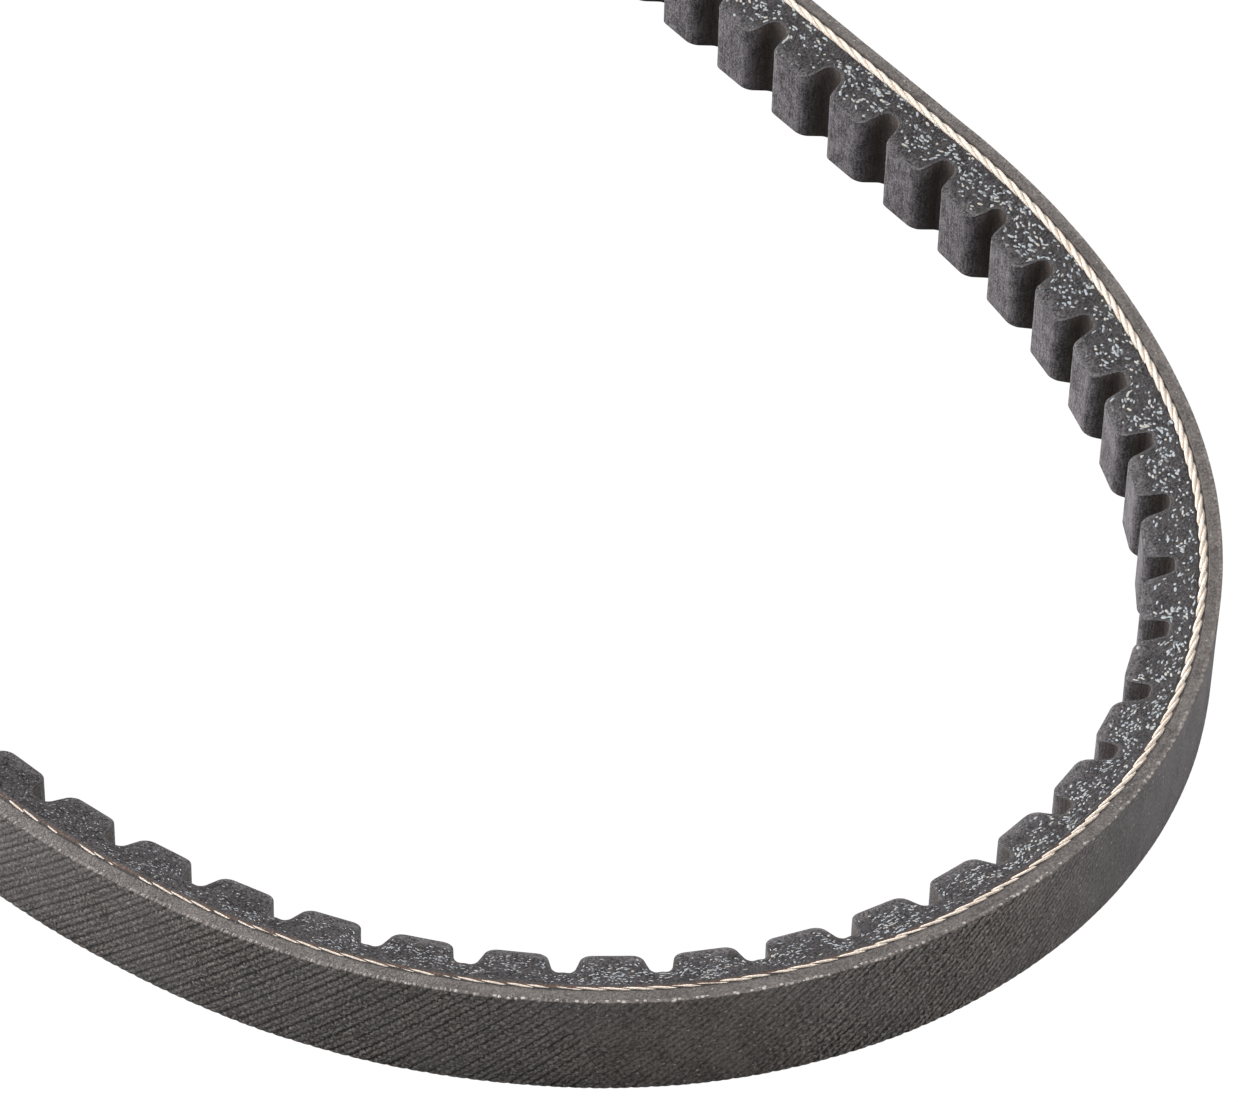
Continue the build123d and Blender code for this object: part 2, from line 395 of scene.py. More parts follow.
def fibre_tree():
    """Ends of chopped fibre in a ground flank, clustered in streaks and lying with the flow of the rubber.

    They thin out towards the cog tips and beside the gum. Along the belt they come into view
    first, and then grow coarser and fewer.
    """
    wires, given, made = new_tree(
        "chopped fibre", "GeometryNodeTree",
        {**SHARED_INPUTS, "Rubber": ("NodeSocketObject", None), "Side": ("NodeSocketFloat", 1.0),
         "Per square metre": ("NodeSocketFloat", 3e6), "Seed": ("NodeSocketInt", 1),
         "Shortest": ("NodeSocketFloat", 0.12 * MM), "Longest": ("NodeSocketFloat", 0.32 * MM),
         "Thinnest": ("NodeSocketFloat", 0.062 * MM), "Thickest": ("NodeSocketFloat", 0.12 * MM),
         "Material": ("NodeSocketMaterial", None)}, SHARED_OUTPUTS)
    rubber = wires.node("GeometryNodeObjectInfo", {"Object": given["Rubber"]}).outputs["Geometry"]
    facing = wires.split(wires.node("GeometryNodeInputNormal").outputs[0])[2]
    on_flank = wires.math("GREATER_THAN", wires.math("MULTIPLY", facing, given["Side"]), 0.9)
    along, inset, _ = wires.split(stored(wires, "belt_space"))

    streaks = wires.joined(wires.math("MULTIPLY", along, 0.4), inset, given["Side"])
    clumps = wires.noise(streaks, CLUMP_SIZE, 1.0, Distortion=0.6)
    crowding = wires.step(clumps, 0.42, 0.6, ends=(0.07, 2.1))
    below_gum = wires.step(inset, GUM_INSET, GUM_INSET + 0.5 * MM, ends=(0.3, 1.0))
    depth = wires.math("MULTIPLY", below_gum, wires.step(inset, *TIP_FADE, ends=(1.0, 0.0)))
    coarse = wires.step(along, *FIBRE_COARSENS)
    fewer = wires.math("MULTIPLY_ADD", coarse, -0.9, 1.7)
    exposed = wires.step(along, *FIBRE_SHOWS, ends=(0.35, 1.0))
    share = wires.math(
        "MULTIPLY", wires.math("MULTIPLY", crowding, depth), wires.math("MULTIPLY", fewer, exposed))
    points = wires.node("GeometryNodeDistributePointsOnFaces", {
        "Mesh": rubber, "Selection": on_flank, "Seed": given["Seed"],
        "Density": wires.math("MULTIPLY", share, given["Per square metre"])})

    _, ahead, inwards = on_cord_line(wires, given, along)
    flow_ahead, flow_inwards, _ = wires.split(stored(wires, "flow"))
    strayed = wires.math("ADD", flow_inwards, random_value(wires, -0.6, 0.6, given["Seed"]))
    heading = wires.vector("ADD", wires.scaled(ahead, flow_ahead), wires.scaled(inwards, strayed))
    turn = wires.node("FunctionNodeAxesToRotation", {
        0: points.outputs["Normal"], 1: heading}, primary_axis="Z", secondary_axis="X")
    growth = wires.math("SUBTRACT", given["Longest"], given["Shortest"])
    mostly_short = wires.math("POWER", random_value(wires, 0.0, 1.0, 7), 2.5)
    length = wires.math("MULTIPLY_ADD", mostly_short, growth, given["Shortest"])
    width = random_value(wires, given["Thinnest"], given["Thickest"], 11)
    size = wires.math("MULTIPLY_ADD", coarse, 0.42, wires.math("MULTIPLY_ADD", exposed, 0.35, 0.45))
    fibres = wires.node("GeometryNodeInstanceOnPoints", {
        "Points": points.outputs["Points"], "Instance": given["Geometry"], "Rotation": turn.outputs[0],
        "Scale": wires.scaled(wires.joined(length, width, FIBRE_THICKNESS), size)})
    tinted = wires.node("GeometryNodeStoreNamedAttribute", {
        "Geometry": fibres.outputs[0], "Name": "tint", "Value": random_value(wires, 0.0, 1.0, 13)},
        data_type="FLOAT", domain="INSTANCE")
    return end_tree(wires, given, made, tinted.outputs[0])


def fibre_blank():
    """A flattened grain of twelve faces, one unit from its middle to each end."""
    rim = [(1, 0, 0), (0.55, 0.9, 0), (-0.55, 0.9, 0), (-1, 0, 0), (-0.55, -0.9, 0), (0.55, -0.9, 0)]
    sides = len(rim)
    faces = [(k, (k + 1) % sides, sides) for k in range(sides)]
    faces += [((k + 1) % sides, k, sides + 1) for k in range(sides)]
    mesh = bpy.data.meshes.new("fibre_blank")
    mesh.from_pydata(rim + [(0, 0, 1), (0, 0, -1)], [], faces)
    return mesh


def grown(name, tree, mesh, **values):
    """Runs a Geometry Nodes tree once, from a mesh or from nothing, and keeps the plain mesh it makes."""
    piece = bpy.data.objects.new(name, mesh or bpy.data.meshes.new(name))
    bpy.context.scene.collection.objects.link(piece)
    modifier = piece.modifiers.new("make", "NODES")
    modifier.node_group = tree
    for socket in tree.interface.items_tree:
        if socket.in_out == "INPUT" and socket.name in values:
            modifier[socket.identifier] = values[socket.name]
    evaluated = piece.evaluated_get(bpy.context.evaluated_depsgraph_get())
    result = bpy.data.meshes.new_from_object(evaluated)
    piece.modifiers.clear()
    piece.data = result
    return piece


# ---------------------------------------------------------------- one cell of each ply

def half_width(inset):
    """Half the belt's width at an inset: square above the cord line, tapered below it."""
    return TOP_WIDTH / 2 - max(inset, 0) * FLANK_TAPER


def rounded(corners, radii, cuts, arc_steps=6):
    """A line through corners, its inner ones rounded, and each straight cut into a number of lengths."""
    points = [Vector(corners[0])]
    straight_from = points[0]
    for before, corner, after, radius, cut in zip(corners, corners[1:], corners[2:], radii, cuts):
        arriving = (Vector(corner) - Vector(before)).normalized()
        leaving = (Vector(after) - Vector(corner)).normalized()
        turn = math.atan2(arriving.cross(leaving), arriving.dot(leaving))
        reach = radius * math.tan(abs(turn) / 2)
        start = Vector(corner) - arriving * reach
        centre = start + Vector((-arriving.y, arriving.x)) * math.copysign(radius, turn)
        points += [straight_from.lerp(start, k / cut) for k in range(1, cut)]
        points += [
            centre + Matrix.Rotation(turn * k / arc_steps, 2) @ (start - centre)
            for k in range(arc_steps + 1)
        ]
        straight_from = points[-1]
    end = Vector(corners[-1])
    return points + [straight_from.lerp(end, (k + 1) / cuts[-1]) for k in range(cuts[-1])]


def cog_outline(cover):
    """One pitch of the cogs, mid notch to mid notch, as (distance, inset), at a depth under the skin."""
    flare = (COG_ROOT_WIDTH - COG_TIP_WIDTH) / 2 / NOTCH_DEPTH
    shift = cover * math.hypot(1, flare) - cover * flare
    root_half, tip_half = COG_ROOT_WIDTH / 2 - shift, COG_TIP_WIDTH / 2 - shift
    root, tip = NOTCH_ROOT - cover, NOTCH_ROOT + NOTCH_DEPTH - cover
    corners = [
        (-PITCH / 2, root), (-root_half, root), (-tip_half, tip),
        (tip_half, tip), (root_half, root), (PITCH / 2, root),
    ]
    root_radius, tip_radius = NOTCH_ROOT_RADIUS + cover, COG_TIP_RADIUS - cover
    return rounded(corners, (root_radius, tip_radius, tip_radius, root_radius), (1, 3, 5, 3, 1))


def cell_mesh(name, loops, **marks):
    """One cell of a ply: loops of points round its section, joined in order along the belt.

    Seen with the belt running towards the viewer and the inside of the loop on the right,
    each loop goes anticlockwise, so that the faces look outwards. marks are lists of one
    vector for each point, kept on the mesh under their names.
    """
    around = len(loops[0])
    faces = []
    for ring in range(len(loops) - 1):
        for step in range(around):
            here, beside = ring * around + step, ring * around + (step + 1) % around
            faces.append((here, beside, beside + around, here + around))
    mesh = bpy.data.meshes.new(name)
    mesh.from_pydata([point for loop in loops for point in loop], [], faces)
    for mark, vectors in marks.items():
        attribute = mesh.attributes.new(mark, "FLOAT_VECTOR", "POINT")
        for entry, vector in zip(attribute.data, vectors):
            entry.vector = vector
    return mesh


def spread(first, last, count):
    """Evenly spaced numbers from first to last, both included."""
    return [first + (last - first) * k / (count - 1) for k in range(count)]


def undercord_cell(rows=9):
    """The rubber under the cogs' skin. Its flank rows flow from the gum line into the cog outline.

    "flow" keeps the rows' direction, which the chopped fibres take.
    """
    outline = cog_outline(SKIN)
    loops = []
    for number, (distance, inset) in enumerate(outline):
        level = Vector((PITCH * (number / (len(outline) - 1) - 0.5), GUM_INSET))
        flank = [level.lerp(Vector((distance, inset)), share) for share in spread(0, 1, rows)]
        loops.append(
            [(x, y, -half_width(y)) for x, y in flank] + [(x, y, half_width(y)) for x, y in reversed(flank)]
        )
    flow = []
    for before, after in zip(loops[:1] + loops[:-1], loops[1:] + loops[-1:]):
        flow += [(Vector(end) - Vector(start)).normalized() for start, end in zip(before, after)]
    return cell_mesh("undercord_cell", loops, flow=flow)


def skin_cell(columns=9):
    """The moulded skin over the cogs and notches, with its cut edges slightly broken."""
    loops = []
    for outer, inner in zip(cog_outline(0), cog_outline(SKIN)):
        half = half_width(outer.y)
        edge = outer.lerp(inner, SKIN_EDGE / SKIN)
        face = [(outer.x, outer.y, z) for z in spread(SKIN_EDGE - half, half - SKIN_EDGE, columns)]
        inner_half = half_width(inner.y)
        loops.append(
            [(edge.x, edge.y, -half)] + face + [(edge.x, edge.y, half)]
            + [(inner.x, inner.y, inner_half), (inner.x, inner.y, -inner_half)]
        )
    return cell_mesh("skin_cell", loops)


def overcord_cell(steps=9, rows=5):
    """The plain rubber between the back fabric and the cord."""
    half = TOP_WIDTH / 2
    section = [(y, -half) for y in spread(FABRIC_INSET, OVERCORD_INSET, rows)]
    section += [(y, half) for y in spread(OVERCORD_INSET, FABRIC_INSET, rows)]
    return cell_mesh("overcord_cell", [[(x, y, z) for y, z in section] for x in spread(0, PITCH, steps)])


def gum_cell(rim, steps=9):
    """The gum from the cord line to its rim. On each flank it drops to a channel for the outer cord."""
    foot = rim - math.copysign(GUM_EDGE, rim)
    flank = [(0.0, GUM_LEVEL, 1), (foot, GUM_LEVEL, 1), (rim, half_width(rim), 0)]
    section = [(y, -z, drop) for y, z, drop in reversed(flank)] + flank
    if rim > 0:
        section.reverse()
    loops, changes = [], []
    for x in spread(0, PITCH, steps):
        loops.append([(x, y, z) for y, z, _ in section])
        changes += [(0, 0, -math.copysign(CORD_BARED, z) * drop) for _, z, drop in section]
    return cell_mesh("gum_cell", loops, change=changes)


def back_cell(outer_rows=12, inner_rows=6):
    """Two ribs of the back fabric, which run across the belt at 45 degrees.

    A deep groove starts the cell and a shallow one divides it, as relief says in shares of
    the rib depth.
    """
    half = TOP_WIDTH / 2
    relief = (1.0, 0.5, 0.08, 0.0, 0.12, 0.5, 0.16, 0.0, 0.06, 0.4)
    columns = len(relief)
    loops, changes = [], []
    for column in range(columns + 1):
        groove = relief[column % columns] * RIB_DEPTH
        outside = BACK_INSET + groove
        section = [(outside + FABRIC_LIP, -half)]
        section += [(FABRIC_INSET, z) for z in spread(-half, half, inner_rows)]
        section += [(outside + FABRIC_LIP, half)]
        section += [(outside, z) for z in spread(half - FABRIC_LIP, FABRIC_LIP - half, outer_rows)]
        loops.append([(column / columns * 2 * RIB_PITCH + z, y, z) for y, z in section])
        changes += [(0, -RIB_FLATTENING * groove if y < FABRIC_INSET else 0, 0) for y, _ in section]
    return cell_mesh("back_cell", loops, change=changes)


# ---------------------------------------------------------------- shader groups

def grain_group():
    """Ground or moulded rubber: a granular shade with broad mottling, and a bump height."""
    wires, given, made = new_tree(
        "rubber grain", "ShaderNodeTree",
        {"Vector": ("NodeSocketVector", None), "Grain size": ("NodeSocketFloat", 0.2 * MM),
         "Mottle size": ("NodeSocketFloat", 1.5 * MM)},
        {"Shade": ("NodeSocketFloat", None), "Height": ("NodeSocketFloat", None)},
    )
    fine = wires.node("ShaderNodeTexNoise", {
        "Vector": given["Vector"], "Scale": wires.math("DIVIDE", 1.0, given["Grain size"]), "Detail": 2.0})
    broad = wires.node("ShaderNodeTexNoise", {
        "Vector": given["Vector"], "Scale": wires.math("DIVIDE", 1.0, given["Mottle size"]), "Detail": 2.0})
    granular = wires.step(fine.outputs[0], 0.3, 0.72)
    mottled = wires.step(broad.outputs[0], 0.35, 0.65)
    shade = wires.math("MULTIPLY_ADD", granular, 0.72, wires.math("MULTIPLY", mottled, 0.28))
    wires.feed(made["Shade"], shade)
    wires.feed(made["Height"], fine.outputs[0])
    return wires.tree


def speck_group():
    """Ends of fine cut fibres: small pale marks, where cells of a pattern pass a random test."""
    wires, given, made = new_tree(
        "cut fibre ends", "ShaderNodeTree",
        {"Vector": ("NodeSocketVector", None), "Spacing": ("NodeSocketFloat", 0.4 * MM),
         "Size": ("NodeSocketFloat", 0.25), "Coverage": ("NodeSocketFloat", 0.3)},
        {"Mask": ("NodeSocketFloat", None)},
    )
    cells = wires.node("ShaderNodeTexVoronoi", {
        "Vector": given["Vector"], "Scale": wires.math("DIVIDE", 1.0, given["Spacing"])})
    near = wires.math("LESS_THAN", cells.outputs["Distance"], given["Size"])
    chance = wires.split(cells.outputs["Color"])[0]
    chosen = wires.math("LESS_THAN", chance, given["Coverage"])
    wires.feed(made["Mask"], wires.math("MULTIPLY", near, chosen))
    return wires.tree


def dust_group():
    """Pale rubbing dust that gathers in soft patches."""
    wires, given, made = new_tree(
        "rubbing dust", "ShaderNodeTree",
        {"Vector": ("NodeSocketVector", None), "Patch size": ("NodeSocketFloat", 6 * MM),
         "Amount": ("NodeSocketFloat", 0.3)},
        {"Mask": ("NodeSocketFloat", None)},
    )
    patches = wires.node("ShaderNodeTexNoise", {
        "Vector": given["Vector"], "Scale": wires.math("DIVIDE", 1.0, given["Patch size"]), "Detail": 5.0})
    gathered = wires.step(patches.outputs[0], 0.4, 0.75)
    wires.feed(made["Mask"], wires.math("MULTIPLY", gathered, given["Amount"]))
    return wires.tree


GRAIN, SPECKS, DUST = grain_group(), speck_group(), dust_group()


class Finish(Wiring):
    """A material on one Principled BSDF, with the shared effects at hand."""

    def __init__(self, name, roughness, **constants):
        self.material = bpy.data.materials.new(name)
        self.material.use_nodes = True
        super().__init__(self.material.node_tree)
        self.shader = self.tree.nodes["Principled BSDF"]
        self.shader.inputs["Roughness"].default_value = roughness
        for socket, value in constants.items():
            self.shader.inputs[socket.replace("_", " ")].default_value = value
        self.object_space = self.node("ShaderNodeTexCoord").outputs["Object"]
        attribute = self.node("ShaderNodeAttribute", attribute_name="belt_space")
        self.belt_space = attribute.outputs["Vector"]

    def group(self, tree, **inputs):
        made = self.node("ShaderNodeGroup", node_tree=tree)
        for name, value in inputs.items():
            self.feed(made.inputs[name.replace("_", " ")], value)
        return made.outputs

    def stretched(self, vector, scale):
        return self.node("ShaderNodeMapping", {"Vector": vector, "Scale": scale}).outputs[0]

    def bump(self, height, depth, under=None):
        made = self.node("ShaderNodeBump", {"Height": height, "Distance": depth, "Strength": 1.0})
        if under is not None:
            self.feed(made.inputs["Normal"], under)
        return made.outputs[0]

    def done(self, colour, normal):
        self.feed(self.shader.inputs["Base Color"], colour)
        self.feed(self.shader.inputs["Normal"], normal)
        return self.material


def srgb(red, green, blue):
    """A colour given as it would be on a screen, from 0 to 255."""
    return tuple((value / 255) ** 2.2 for value in (red, green, blue)) + (1.0,)


# The darkest and the palest colour of each rubber, between which its grain moves
RUBBER_GREYS = (srgb(44, 40, 38), srgb(87, 82, 79))
CHARCOALS = (srgb(14, 12, 13), srgb(53, 50, 51))
# Painted light: a paler charcoal that makes the flank's near stretch look better lit
NEAR_LIT_CHARCOALS = (srgb(15, 12, 13), srgb(62, 59, 60))
TIP_GREYS = (srgb(20, 17, 18), srgb(78, 75, 77))
BLACK_GUMS = (srgb(16, 13, 13), srgb(34, 30, 28))
BROWN_GUMS = (srgb(36, 26, 21), srgb(76, 54, 42))


def flank_colour(finish, shade):
    """The ground flank below the cord: charcoal, painted paler on the near stretch as painted light, and
    greyer towards the cog tips.
    """
    along, inset, _ = finish.split(finish.belt_space)
    # Painted light: the near stretch of the flank is painted paler than the rest
    painted_lit, base_charcoal = finish.colour(shade, *NEAR_LIT_CHARCOALS), finish.colour(shade, *CHARCOALS)
    charcoal = finish.colour(finish.step(along, *PAINTED_LIGHT_ENDS), painted_lit, base_charcoal)
    towards_tip = finish.step(inset, *TIP_GREYING)
    return finish.colour(towards_tip, charcoal, finish.colour(shade, *TIP_GREYS))


def ground_rubber():
    """The overcord's ground flank: warm grey, finely grained, with a few pale fibre ends."""
    skin = Finish("ground_overcord", 0.62, Specular_IOR_Level=0.35)
    grain = skin.group(GRAIN, Vector=skin.object_space, Grain_size=0.22 * MM, Mottle_size=2.2 * MM)
    specks = skin.group(SPECKS, Vector=skin.object_space, Spacing=0.5 * MM, Size=0.18, Coverage=0.14)
    base = skin.colour(grain["Shade"], *RUBBER_GREYS)
    return skin.done(
        skin.colour(skin.math("MULTIPLY", specks["Mask"], 0.5), base, srgb(150, 144, 138)),
        skin.bump(grain["Height"], 0.09 * MM))


def back_cloth():
    """Rubberised bias cloth: dark ribs with beads of yarn along them and painted shade darkening the grooves
    between them, ground bare at the cut edges.
    """
    cloth = Finish("bias_cloth", 0.62, Specular_IOR_Level=0.35)
    along, _, height = cloth.split(cloth.belt_space)
    across = cloth.math("SUBTRACT", along, height)
    lengthways = cloth.math("ADD", along, height)

    def yarns(thickness, bead_length, detail):
        stretched = cloth.joined(
            cloth.math("DIVIDE", across, thickness), cloth.math("DIVIDE", lengthways, bead_length))
        return cloth.noise(stretched, 1.0, detail)

    # The ragged noise moves the grooves by 0.22 of a pair of ribs on average, which is taken off again.
    ragged, beads = yarns(0.9 * MM, 0.42 * MM, 0.0), yarns(0.4 * MM, 0.6 * MM, 1.0)
    pairs = cloth.math("DIVIDE", cloth.math("MULTIPLY_ADD", ragged, 0.8 * MM, across), 2 * RIB_PITCH)
    from_deep = cloth.math("PINGPONG", cloth.math("SUBTRACT", pairs, 0.22), 0.5)
    from_faint = cloth.math("SUBTRACT", 0.5, from_deep)
    unworn = cloth.math(
        "MULTIPLY", cloth.step(along, *WEAVE_FIRMS, ends=(0.25, 1.0)),
        cloth.step(along, *WEAVE_FADES, ends=(1.0, 0.12)))
    from_rubbed = cloth.math("ABSOLUTE", cloth.math("SUBTRACT", along, WEAVE_RUBBED))
    strong = cloth.math("MULTIPLY", unworn, cloth.step(from_rubbed, 5 * MM, 14 * MM, ends=(0.5, 1.0)))
    grain = cloth.group(GRAIN, Vector=cloth.object_space, Grain_size=0.26 * MM, Mottle_size=3 * MM)
    specks = cloth.group(SPECKS, Vector=cloth.object_space, Spacing=0.55 * MM, Size=0.2, Coverage=0.24)
    dust = cloth.group(DUST, Vector=cloth.object_space, Patch_size=9 * MM, Amount=0.35)
    woven = cloth.colour(grain["Shade"], srgb(38, 33, 30), srgb(92, 86, 82))
    smooth = cloth.colour(grain["Shade"], srgb(52, 49, 50), srgb(90, 87, 89))
    crown = cloth.colour(unworn, smooth, woven)
    beading = cloth.math("MULTIPLY", cloth.step(beads, 0.42, 0.68), strong)
    beaded = cloth.colour(cloth.math("MULTIPLY", beading, 0.75), crown, srgb(122, 117, 114))
    # Painted shade: the grooves between the ribs are painted near black
    deep = cloth.step(from_deep, 0.04, 0.15, ends=(1.0, 0.0))
    faint = cloth.step(from_faint, 0.03, 0.11, ends=(0.8, 0.0))
    groove = cloth.math("MULTIPLY", cloth.math("MAXIMUM", deep, faint), strong)
    groove_shaded = cloth.colour(groove, beaded, srgb(14, 11, 10))
    dusted = cloth.colour(dust["Mask"], groove_shaded, srgb(84, 80, 81))
    specked = cloth.colour(cloth.math("MULTIPLY", specks["Mask"], 0.7), dusted, srgb(140, 137, 136))
    edge = cloth.step(cloth.math("ABSOLUTE", height), *FABRIC_CUT)
    ends = cloth.group(SPECKS, Vector=cloth.object_space, Spacing=0.5 * MM, Size=0.36, Coverage=0.75)
    bare = cloth.colour(grain["Shade"], srgb(48, 44, 42), srgb(96, 90, 87))
    fraying = cloth.math(
        "MULTIPLY", cloth.step(along, *FRAYING_STARTS, ends=(0.15, 0.75)),
        cloth.step(along, *FRAYING_ENDS, ends=(1.0, 0.2)))
    frayed = cloth.colour(cloth.math("MULTIPLY", ends["Mask"], fraying), bare, srgb(146, 140, 134))
    weave = cloth.bump(cloth.math("MULTIPLY", beads, strong), 0.22 * MM)
    return cloth.done(cloth.colour(edge, specked, frayed), cloth.bump(grain["Height"], 0.08 * MM, weave))


def gum(name, beside_cord, rubber, reach):
    """Adhesion gum: its own colours within reach of the cord line, the flank's rubber beyond."""
    mass = Finish(name, 0.6, Specular_IOR_Level=0.3)
    grain = mass.group(GRAIN, Vector=mass.object_space, Grain_size=0.25 * MM, Mottle_size=1.2 * MM)
    inset = mass.math("ABSOLUTE", mass.split(mass.belt_space)[1])
    near = mass.colour(grain["Shade"], *beside_cord)
    far = mass.colour(grain["Shade"], *rubber)
    beyond = mass.step(inset, reach - 0.04 * MM, reach + 0.06 * MM)
    return mass.done(mass.colour(beyond, near, far), mass.bump(grain["Height"], 0.07 * MM))


def cord_yarn():
    """Undyed polyester: fine yarns along each strand, stained here and there by the gum."""
    yarn = Finish("cord_yarn", 0.75, Sheen_Weight=0.2, Sheen_Roughness=0.4)
    fine = yarn.noise(yarn.object_space, 0.14 * MM, 2.0)
    stain = yarn.group(DUST, Vector=yarn.object_space, Patch_size=1.6 * MM, Amount=0.35)
    pale = yarn.colour(yarn.step(fine, 0.32, 0.7), srgb(150, 138, 126), srgb(199, 188, 176))
    return yarn.done(yarn.colour(stain["Mask"], pale, srgb(148, 128, 110)), yarn.bump(fine, 0.08 * MM))


def undercord_flank():
    """Charcoal rubber with the finest of the chopped fibre, which lies along the belt."""
    rubber = Finish("fibre_rubber", 0.6, Specular_IOR_Level=0.1)
    grain = rubber.group(GRAIN, Vector=rubber.object_space, Grain_size=0.28 * MM, Mottle_size=1.3 * MM)
    lying = rubber.stretched(rubber.belt_space, (0.6, 1.0, 1.0))
    fibres = rubber.group(SPECKS, Vector=lying, Spacing=0.3 * MM, Size=0.26, Coverage=0.26)
    toned = flank_colour(rubber, grain["Shade"])
    specked = rubber.colour(rubber.math("MULTIPLY", fibres["Mask"], 0.4), toned, srgb(116, 120, 126))
    return rubber.done(specked, rubber.bump(grain["Height"], 0.1 * MM))


def fibre_finish():
    """Cut fibre: bluish white to cream, some of it greyed by the rubber."""
    fibre = Finish("chopped_fibre", 0.6)
    tint = fibre.node("ShaderNodeAttribute", attribute_name="tint").outputs["Fac"]
    grain = fibre.group(GRAIN, Vector=fibre.object_space, Grain_size=0.08 * MM, Mottle_size=0.6 * MM)
    cool = fibre.colour(fibre.step(tint, 0.0, 0.5), srgb(52, 55, 58), srgb(114, 120, 124))
    toned = fibre.colour(fibre.step(tint, 0.75, 0.95), cool, srgb(131, 125, 115))
    return fibre.done(
        fibre.colour(fibre.math("MULTIPLY", grain["Shade"], 0.35), toned, srgb(96, 98, 102)),
        fibre.bump(grain["Height"], 0.02 * MM))


def cog_skin():
    """Moulded skin: mid grey with streaks across the belt, paler on the cog faces and darker in the notches,
    where the darkening is partly the skin's own tone and partly painted shade.
    """
    skin = Finish("moulded_skin", 0.58, Specular_IOR_Level=0.18)
    _, inset, height = skin.split(skin.belt_space)
    streaks = skin.noise(skin.stretched(skin.belt_space, (1.0, 1.0, 0.16)), 0.24 * MM, 3.0)
    grain = skin.group(GRAIN, Vector=skin.object_space, Grain_size=0.2 * MM, Mottle_size=1.8 * MM)
    face = skin.step(inset, NOTCH_ROOT + 0.9 * MM, NOTCH_ROOT + NOTCH_DEPTH - 0.15 * MM)
    shade = skin.math("MULTIPLY_ADD", streaks, 0.55, skin.math("MULTIPLY", grain["Shade"], 0.45))
    # The notches' darker grey is partly the skin's own tone and partly painted shade in the recesses
    notch_grey_and_shade = skin.colour(shade, srgb(34, 30, 28), srgb(79, 72, 69))
    cog_face_grey = skin.colour(skin.step(shade, 0.25, 0.75), srgb(42, 39, 41), srgb(95, 91, 94))
    half = skin.math("MULTIPLY_ADD", inset, -FLANK_TAPER, TOP_WIDTH / 2)
    from_cut = skin.math("SUBTRACT", half, skin.math("ABSOLUTE", height))
    cut = skin.step(from_cut, 0.02 * MM, 0.14 * MM, ends=(1.0, 0.0))
    moulded = skin.colour(face, notch_grey_and_shade, cog_face_grey)
    return skin.done(
        skin.colour(cut, moulded, flank_colour(skin, grain["Shade"])),
        skin.bump(streaks, 0.08 * MM, skin.bump(grain["Height"], 0.07 * MM)))


# ---------------------------------------------------------------- the belt

CORD_LINE = draw_cord_line()
FOLLOW = follow_tree()
STRIP, ROPE, FIBRES = strip_tree(FOLLOW), rope_tree(FOLLOW), fibre_tree()
CORD_YARN, FIBRE_FINISH = cord_yarn(), fibre_finish()


def ply(name, cell, material, tree=STRIP, changes=NO_CHANGE, **sizes):
    """One ply of the belt. changes is where its change starts, is full, starts to go and is gone."""
    values = {"Cord line": CORD_LINE, "Material": material, **dict(zip(CHANGE, changes))}
    return grown(name, tree, cell, **values, **sizes)


def belt_piece(piece, node):
    """Puts a piece in the place of a CAD node: hides the node and attaches the piece to the root body."""
    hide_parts(node)
    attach(piece, "root")


rib_cells = {"Cell length": 2 * RIB_PITCH, "Cells": RIB_PAIRS}
back = ply("bias_cloth_back", back_cell(), back_cloth(), changes=FLAT_RIBS, **rib_cells)
belt_piece(back, "back_fabric")

overcord = ply("overcord_band", overcord_cell(), ground_rubber())
belt_piece(overcord, "overcord_rubber")

black_gum = gum("black_gum", BLACK_GUMS, RUBBER_GREYS, 0.28 * MM)
upper_gum = ply("gum_above_cord", gum_cell(OVERCORD_INSET), black_gum, changes=BARE_CORD)
belt_piece(upper_gum, "upper_adhesion_gum")

brown_gum = gum("brown_gum", BROWN_GUMS, CHARCOALS, 0.29 * MM)
lower_gum = ply("gum_below_cord", gum_cell(GUM_INSET), brown_gum, changes=BARE_CORD)
belt_piece(lower_gum, "lower_adhesion_gum")

cog_cells = {"First cell": FIRST_COG - COGS / 2 * PITCH}
undercord = ply("undercord_with_cogs", undercord_cell(), undercord_flank(), **cog_cells)
belt_piece(undercord, "undercord_rubber")

skin = ply("moulded_cog_skin", skin_cell(), cog_skin(), **cog_cells)
belt_piece(skin, "cog_cover")

for name, node, side in (
    ("flank_cord_top", "tensile_cord_11", 1.0),
    ("flank_cord_bottom", "tensile_cord_01", -1.0),
):
    rope = ply(name, None, CORD_YARN, tree=ROPE, changes=BARE_CORD, Side=side)
    belt_piece(rope, node)

for name, cad_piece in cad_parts.items():
    if name.startswith("tensile_cord"):
        cad_piece.data.materials.clear()
        cad_piece.data.materials.append(CORD_YARN)

for name, side, seed in (("fibre_ends_top", 1.0, 3), ("fibre_ends_bottom", -1.0, 5)):
    fibres = ply(name, fibre_blank(), FIBRE_FINISH, tree=FIBRES, Rubber=undercord, Side=side, Seed=seed)
    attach(fibres, "root")

bpy.data.objects.remove(CORD_LINE)


# ---------------------------------------------------------------- studio

PLAIN_WHITE = 1.02        # strength at which the surroundings look white and nothing more


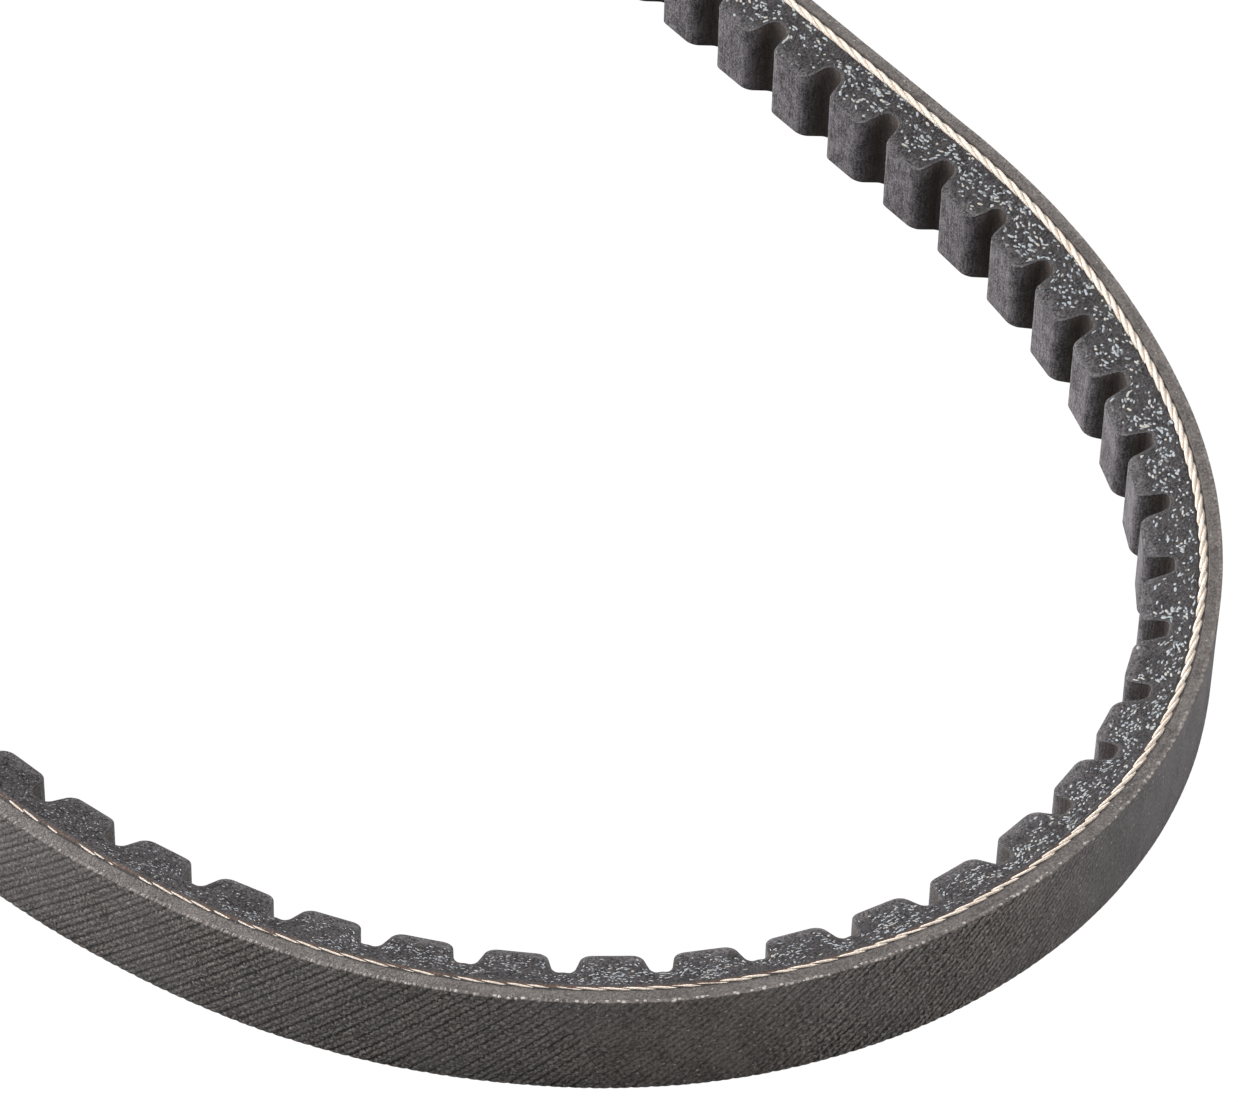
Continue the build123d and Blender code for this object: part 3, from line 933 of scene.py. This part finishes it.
def white_floor():
    """A white sweep that stays white to the camera and gives soft light from below."""
    bpy.ops.mesh.primitive_plane_add(size=6, location=(0, 0, cad_box[0].z - 0.05 * MM))
    floor = bpy.context.object
    floor.name = "floor"
    material = bpy.data.materials.new("white_sweep")
    material.use_nodes = True
    wires = Wiring(material.node_tree)
    material.node_tree.nodes.clear()
    paper = wires.node("ShaderNodeBsdfDiffuse", {"Color": (0.5, 0.5, 0.5, 1)})
    seen = wires.node("ShaderNodeEmission", {"Color": (1, 1, 1, 1), "Strength": PLAIN_WHITE})
    camera_ray = wires.node("ShaderNodeLightPath").outputs["Is Camera Ray"]
    mixed = wires.node("ShaderNodeMixShader", {0: camera_ray, 1: paper.outputs[0], 2: seen.outputs[0]})
    output = wires.node("ShaderNodeOutputMaterial", {"Surface": mixed.outputs[0]})
    output.is_active_output = True
    floor.data.materials.append(material)


def white_room(viewer, strength, viewer_side_strength):
    """A white room, which sends less light from the side of the viewer. The camera sees it plain white."""
    world = bpy.data.worlds.new("white_room")
    world.use_nodes = True
    wires = Wiring(world.node_tree)
    background = world.node_tree.nodes["Background"]
    direction = wires.node("ShaderNodeTexCoord").outputs["Generated"]
    facing = wires.node("ShaderNodeVectorMath", {0: direction, 1: viewer}, operation="DOT_PRODUCT")
    light = wires.step(facing.outputs["Value"], 0.1, 0.85, ends=(strength, viewer_side_strength))
    seen = wires.node("ShaderNodeLightPath").outputs["Is Camera Ray"]
    brightness = wires.node("ShaderNodeMix", {0: seen, 2: light, 3: PLAIN_WHITE}, data_type="FLOAT")
    wires.feed(background.inputs["Strength"], brightness.outputs[0])
    background.inputs["Color"].default_value = (1, 1, 1, 1)
    bpy.context.scene.world = world


def softbox(name, place, target, size, power):
    """A square light that faces its target, of a size in metres and a power in watts."""
    light = bpy.data.lights.new(name, "AREA")
    light.shape, light.size, light.energy = "SQUARE", size, power
    box = bpy.data.objects.new(name, light)
    box.location = place
    box.rotation_euler = (Vector(target) - Vector(place)).to_track_quat("-Z", "Y").to_euler()
    bpy.context.scene.collection.objects.link(box)


white_floor()
white_room(viewer=Vector((0.78, -0.62, 0.1)).normalized(), strength=0.45, viewer_side_strength=0.08)
softbox("left_softbox", (-0.45, -0.5, 0.35), (0.03, 0, 0), 0.5, 11.0)
softbox("inner_softbox", (-0.7, 0.0, 0.14), (0.1, 0, 0), 0.4, 17.0)
softbox("right_softbox", (0.6, 0.25, 0.3), (0.05, 0, 0), 0.4, 2.8)
softbox("top_softbox", (0.0, 0.2, 0.7), (0.03, 0, 0), 0.6, 4.0)

CAMERA_PLACE = Vector((412.2 * MM, -273.0 * MM, 425.2 * MM))
CAMERA_TARGET = Vector((65.6 * MM, 4.5 * MM, 0))
CAMERA_ROLL = math.radians(-1.6)
FOCAL_LENGTH = 187.8      # millimetres, as the camera takes it

camera = bpy.data.objects.new("camera", bpy.data.cameras.new("camera"))
aim = CAMERA_TARGET - CAMERA_PLACE
rolled = Matrix.Rotation(CAMERA_ROLL, 3, aim) @ aim.to_track_quat("-Z", "Y").to_matrix()
camera.location = CAMERA_PLACE
camera.rotation_euler = rolled.to_euler()
camera.data.lens = FOCAL_LENGTH
bpy.context.scene.collection.objects.link(camera)
bpy.context.scene.camera = camera
bpy.context.scene.view_settings.view_transform = "Standard"
